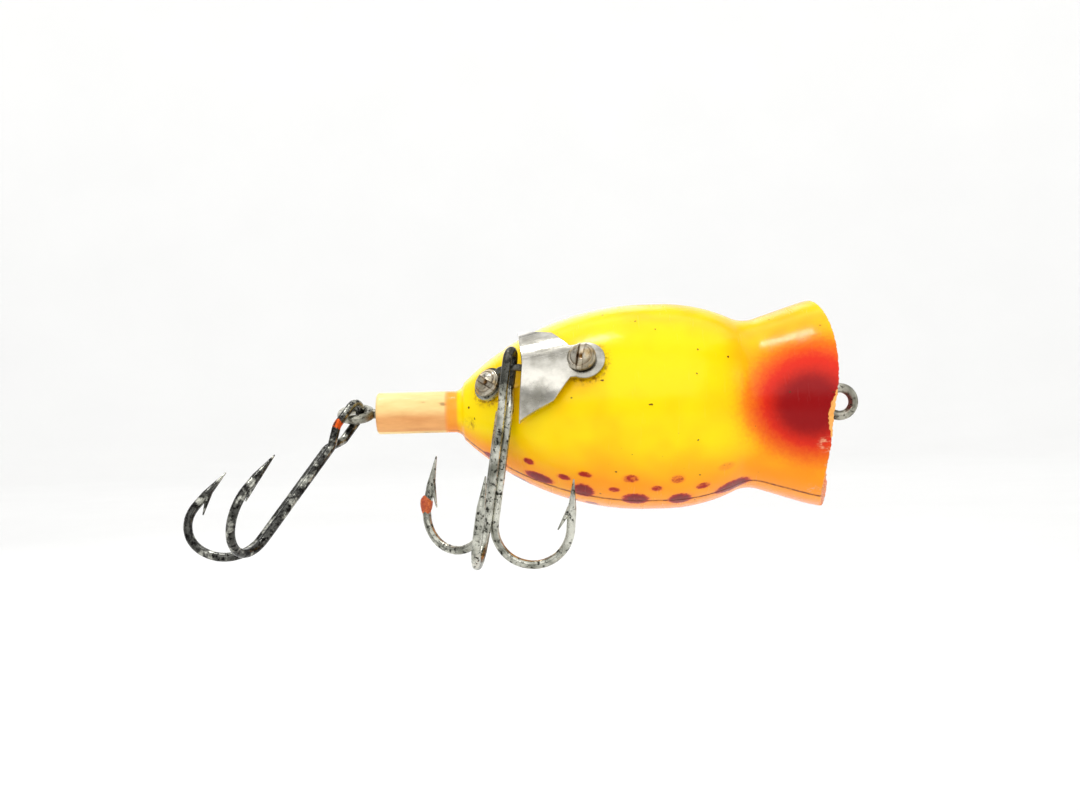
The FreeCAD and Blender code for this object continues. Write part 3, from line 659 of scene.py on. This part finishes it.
def soiled_coat(paint, colour, grain, scuff_and_highlight):
    """Stains round the screws, scuffed patches with one pale painted highlight among them, dirt in
    the seam, and stray specks.
    """
    stain = paint.patchy("stain", paint.step(grain, 0.42, 0.66, 0.0, 0.75))
    colour = paint.mix(stain, colour, STAIN_BROWN)
    colour = paint.mix(scuff_and_highlight, colour, SCUFF_AND_HIGHLIGHT_PALE)
    seam = paint.patchy("seam", paint.step(grain, 0.3, 0.6, 0.35, 1.0))
    colour = paint.mix(seam, colour, SEAM_BROWN)
    speck = paint.step(paint.noise(1.15, 1.0, 0.2), 0.785, 0.81)
    return paint.mix(speck, colour, SPECK_BROWN)


def bare_stem(paint, colour):
    """The unpainted stem: cream on its lit top and tan below as painted shade, with lengthwise
    streaks and an orange ring.
    """
    streak = paint.noise(0.7, 3.0, 0.6, paint.stretched(0.25, 1.0, 1.0))
    cream = paint.mix(paint.step(streak, 0.35, 0.7), STEM_CREAM, STEM_CREAM_DARK)
    tan = paint.mix(paint.step(streak, 0.35, 0.7), STEM_SHADED_TAN, STEM_SHADED_TAN_DARK)
    # Painted shade: the stem turns tan on its lower side.
    cream = paint.mix(paint.layer("under"), cream, tan)
    cream = paint.mix(paint.step(streak, 0.66, 0.74, 0.0, 0.6), cream, STEM_DIRT)
    colour = paint.mix(paint.layer("stem"), colour, cream)
    return paint.mix(paint.patchy("ring", 0.8), colour, STEM_RING)


def painted_plastic():
    """Glossy lacquer on moulded plastic, worn through at the rim and left off the stem."""
    paint = Surface("painted_plastic")
    grain = paint.noise(2.2, 4.0, 0.65)
    spots = paint.frayed("spot", grain, 0.16)
    scratches = paint.noise(1.1, 5.0, 0.75, paint.stretched(1.0, 0.5, 2.4))
    # Pale scuffed patches, one of them a painted highlight near the rim.
    scuff_and_highlight = paint.patchy("scuff_and_highlight", paint.step(scratches, 0.5, 0.62, 0.0, 0.7))
    worn = paint.sums("ADD", paint.layer("worn"), paint.step(grain, 0.4, 0.7, -0.3, 0.3))
    worn = paint.sums("MULTIPLY", paint.step(worn, 0.35, 0.5),
                      paint.step(paint.layer("worn"), 0.0, 0.1))
    colour = airbrushed(paint, base_coat(paint), grain, spots)
    colour = soiled_coat(paint, colour, grain, scuff_and_highlight)
    inner = paint.mix(paint.step(grain, 0.35, 0.65), CUP_RED, CUP_ROSE)
    colour = paint.mix(paint.layer("inside"), colour, inner)
    bare = paint.mix(paint.step(grain, 0.3, 0.7), BARE_LIGHT, BARE_DARK)
    colour = bare_stem(paint, paint.mix(worn, colour, bare))
    hairlines = paint.noise(1.6, 5.0, 0.7, paint.stretched(1.0, 0.12, 0.12))
    roughness = paint.step(hairlines, 0.5, 0.8, 0.19, 0.4)
    for share, extra in ((paint.layer("stem"), 0.2), (worn, 0.3), (scuff_and_highlight, 0.25)):
        roughness = paint.sums("ADD", roughness, paint.step(share, 0.0, 1.0, 0.0, extra))
    normal = paint.bump(paint.noise(0.3, 2.0), 0.12, 0.7)
    normal = paint.bump(paint.noise(0.9, 2.0), 0.03, 0.6, normal)
    normal = paint.bump(paint.noise(9.0, 2.0), 0.004, 0.8, normal)
    normal = paint.bump(spots, 0.02, 0.5, normal)
    normal = paint.bump(worn, -0.06, 0.8, normal)
    normal = paint.bump(scuff_and_highlight, -0.05, 0.8, normal)
    return paint.finish(colour, roughness, normal, IOR=1.24, Coat_Weight=0.06,
                        Coat_Roughness=0.08)


def metal_grain(surface):
    return surface.noise(1.8, 5.0, 0.7)


def metal(name, bright, dull, dirt, rough, dirt_share, pits):
    """A worn metal: bright where rubbed, dull in clouds, with dark dirt in its pits."""
    surface = Surface(name)
    cloud = surface.noise(0.35, 3.0)
    grain = metal_grain(surface)
    scratch = surface.noise(1.2, 4.0, 0.7, surface.stretched(0.3, 2.2, 0.6))
    soiled = surface.step(grain, *dirt_share)
    colour = surface.mix(surface.step(cloud, 0.35, 0.68), rgb(*bright), rgb(*dull))
    colour = surface.mix(soiled, colour, rgb(*dirt))
    uneven = surface.sums("ADD", scratch, surface.sums("MULTIPLY", cloud, 0.3))
    roughness = surface.sums("ADD", surface.step(uneven, 0.45, 0.9, *rough),
                             surface.sums("MULTIPLY", soiled, 0.25))
    normal = surface.bump(scratch, 0.01, 0.4)
    normal = surface.bump(grain, pits, 0.7, normal)
    return surface, colour, roughness, normal


def nickel_sheet():
    surface, colour, roughness, normal = metal(
        "nickel_sheet", (196, 193, 184), (150, 147, 137), (84, 74, 60), (0.12, 0.32),
        (0.64, 0.78), 0.006)
    return surface.finish(colour, roughness, normal, Metallic=1.0)


def nickel_screw():
    """Nickel plate worn to brass in clouds, with a brown spot at the head's middle and painted
    shade in the slot and groove.
    """
    surface, colour, roughness, normal = metal(
        "nickel_screw", (206, 200, 186), (150, 140, 118), (60, 48, 34), (0.18, 0.42),
        (0.56, 0.72), 0.015)
    brass = surface.step(surface.noise(0.5, 2.0), 0.5, 0.62, 0.0, 0.45)
    colour = surface.mix(brass, colour, BRASS)
    # A brown spot at the head's middle, and painted shade in the slot and groove.
    colour = surface.mix(surface.layer("grime_and_shade"), colour, GRIME_AND_SHADE_BROWN)
    return surface.finish(colour, roughness, normal, Metallic=1.0)


def nickel_wire():
    surface, colour, roughness, normal = metal(
        "nickel_wire", (186, 184, 170), (118, 116, 104), (52, 46, 36), (0.22, 0.5),
        (0.5, 0.66), 0.02)
    return surface.finish(colour, roughness, normal, Metallic=1.0)


def rust(surface, colour, spots):
    """Rust patches, each with its middle (mm, in the object's frame), its size and its strength."""
    patchy = surface.step(surface.noise(1.4, 4.0, 0.7), 0.3, 0.62, 0.3, 1.3)
    for place, size, strength in spots:
        middle = tuple(value * MM for value in place)
        away = surface.node("ShaderNodeVectorMath", {0: surface.place, 1: middle}, "Value",
                            operation="DISTANCE")
        near = surface.step(away, size * MM, size * MM * 0.35, 0.0, strength)
        share = surface.step(surface.sums("MULTIPLY", near, patchy), 0.3, 0.6)
        colour = surface.mix(share, colour, RUST)
    return colour


def grey_hook():
    """The treble's dull silver, blackened towards its top as painted shade, round its eye and on
    the hanger's tongue under the plate.
    """
    surface, colour, roughness, normal = metal(
        "grey_hook", (214, 214, 202), (126, 127, 116), (36, 36, 30), (0.16, 0.4),
        (0.51, 0.63), 0.03)
    # Painted shade: black from 1 mm up to 4.5 mm, where the eye and the tongue sit under the plate.
    height = surface.node("ShaderNodeSeparateXYZ", {"Vector": surface.place}, "Z")
    dark = surface.sums("ADD", surface.step(height, 1.0 * MM, 4.5 * MM),
                        surface.step(metal_grain(surface), 0.35, 0.65, -0.25, 0.25))
    colour = surface.mix(surface.step(dark, 0.2, 0.8, 0.0, 0.85), colour, HOOK_SHADE_BLACK)
    colour = rust(surface, colour, [((-51.0, -3.0, -11.3), 1.2, 1.0)])
    return surface.finish(colour, roughness, normal, Metallic=0.92)


def rust_crust():
    """Rough orange rust, darker in its pits."""
    surface = Surface("rust_crust")
    patchy = surface.noise(1.1, 4.0, 0.7)
    grain = surface.noise(4.0, 4.0, 0.7)
    colour = surface.mix(surface.step(patchy, 0.35, 0.65), RUST_LIGHT, RUST_DARK)
    colour = surface.mix(surface.step(grain, 0.55, 0.7, 0.0, 0.5), colour, RUST_PIT)
    roughness = surface.step(grain, 0.3, 0.7, 0.45, 0.7)
    return surface.finish(colour, roughness, surface.bump(grain, 0.04, 0.7))


def black_hook():
    """The tail hook's black finish, rubbed back to steel in pale patches that also paint highlights
    along the shank.
    """
    surface, colour, roughness, normal = metal(
        "black_hook", (84, 84, 80), (40, 40, 37), (12, 11, 10), (0.1, 0.34),
        (0.46, 0.6), 0.03)
    # Pale patches: steel rubbed bare, and painted highlights along the shank.
    rubbed = surface.step(surface.noise(0.7, 3.0, 0.6), 0.5, 0.68, 0.0, 0.75)
    colour = surface.mix(rubbed, colour, RUBBED_STEEL_AND_HIGHLIGHT)
    colour = rust(surface, colour, [((-61.5, -3.8, -1.2), 1.0, 1.0),
                                    ((-74.3, -6.0, -13.5), 0.9, 0.5)])
    return surface.finish(colour, roughness, normal, Metallic=0.95)


# --- stage ---------------------------------------------------------------------------------------

def pale_floor():
    surface = Surface("pale_floor")
    colour = surface.mix(surface.noise(0.01, 2.0), FLOOR_LIGHT, FLOOR_DARK)
    roughness = surface.step(surface.noise(0.05, 2.0), 0.3, 0.7, 0.75, 0.85)
    normal = surface.bump(surface.noise(1.0, 2.0), 0.01, 0.2)
    return surface.finish(colour, roughness, normal, Emission_Color=(1.0, 1.0, 1.0, 1.0),
                          Emission_Strength=FLOOR_GLOW)


def make_stage():
    """A pale round floor under the lure that curves up into a wall far away on every side."""
    flat = STAGE_REACH - STAGE_BEND
    outline = [(flat, FLOOR_Z)]
    for step in range(1, STAGE_STEPS + 1):
        turn = math.radians(90.0 * step / STAGE_STEPS)
        outline.append((flat + STAGE_BEND * math.sin(turn),
                        FLOOR_Z + STAGE_BEND * (1 - math.cos(turn))))
    outline.append((STAGE_REACH, STAGE_TOP))
    turns = [math.tau * side / STAGE_SIDES for side in range(STAGE_SIDES)]
    made = bmesh.new()
    centre = made.verts.new((0.0, 0.0, FLOOR_Z * MM))
    rings = [[made.verts.new(Vector((radius * math.cos(turn), radius * math.sin(turn), height))
                             * MM) for turn in turns] for radius, height in outline]
    for side in range(STAGE_SIDES):
        following = (side + 1) % STAGE_SIDES
        made.faces.new((centre, rings[0][side], rings[0][following]))
        for low, high in zip(rings, rings[1:]):
            made.faces.new((low[side], low[following], high[following], high[side]))
    stage = finish_mesh("stage_floor", made, 60.0)
    stage.data.materials.append(pale_floor())


def area_light(name, place, target, width, height, watts):
    lamp = bpy.data.lights.new(name, "AREA")
    lamp.shape = "RECTANGLE"
    lamp.size = width * MM
    lamp.size_y = height * MM
    lamp.energy = watts
    holder = bpy.data.objects.new(name, lamp)
    holder.location = Vector(place) * MM
    holder.rotation_euler = (Vector(target) - Vector(place)).to_track_quat("-Z", "Y").to_euler()
    bpy.context.scene.collection.objects.link(holder)


def light_scene():
    for light in LIGHTS:
        area_light(*light)
    world = bpy.data.worlds.new("studio")
    bpy.context.scene.world = world
    world.use_nodes = True
    background = world.node_tree.nodes["Background"]
    background.inputs["Color"].default_value = (1.0, 1.0, 1.0, 1.0)
    background.inputs["Strength"].default_value = STUDIO_GLOW
    bpy.context.scene.view_settings.view_transform = "Standard"
    bpy.context.scene.view_settings.exposure = EXPOSURE


def place_camera():
    """A short way in front of the lure, level with it, tilted a little so that its nose rises."""
    lens = bpy.data.cameras.new("camera")
    lens.lens = LENS
    lens.sensor_width = SENSOR
    lens.clip_start = CLIP_START
    lens.clip_end = CLIP_END
    camera = bpy.data.objects.new("camera", lens)
    level = Matrix.Rotation(math.radians(90.0), 4, "X")
    roll = Matrix.Rotation(CAMERA_ROLL, 4, "Z")
    camera.matrix_world = Matrix.Translation(CAMERA_PLACE * MM) @ level @ roll
    bpy.context.scene.collection.objects.link(camera)
    bpy.context.scene.camera = camera


# --- the whole -----------------------------------------------------------------------------------

SECTION = HullSection()
MATERIALS = {make.__name__: make() for make in (painted_plastic, nickel_wire, nickel_sheet,
                                                nickel_screw, grey_hook, rust_crust, black_hook)}
NODE_MATERIALS = {
    "line_tie_eye": "nickel_wire",
    "tail_eye": "nickel_wire",
    "hanger_tongue": "grey_hook",
    "belly_hook_double_wire": "grey_hook",
    "belly_hook_single_wire": "grey_hook",
    "tail_hook_wire": "black_hook",
}


def main():
    hull_half("belly_half", "belly_shell", 0.0)
    hull_half("back_half", "back_shell", 180.0)
    for node, finish in NODE_MATERIALS.items():
        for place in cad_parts[node].material_slots:
            place.material = MATERIALS[finish]
    hanger_plate()
    for place in SCREWS:
        screw(*place)
    rust_lump()
    make_stage()
    light_scene()
    place_camera()


main()
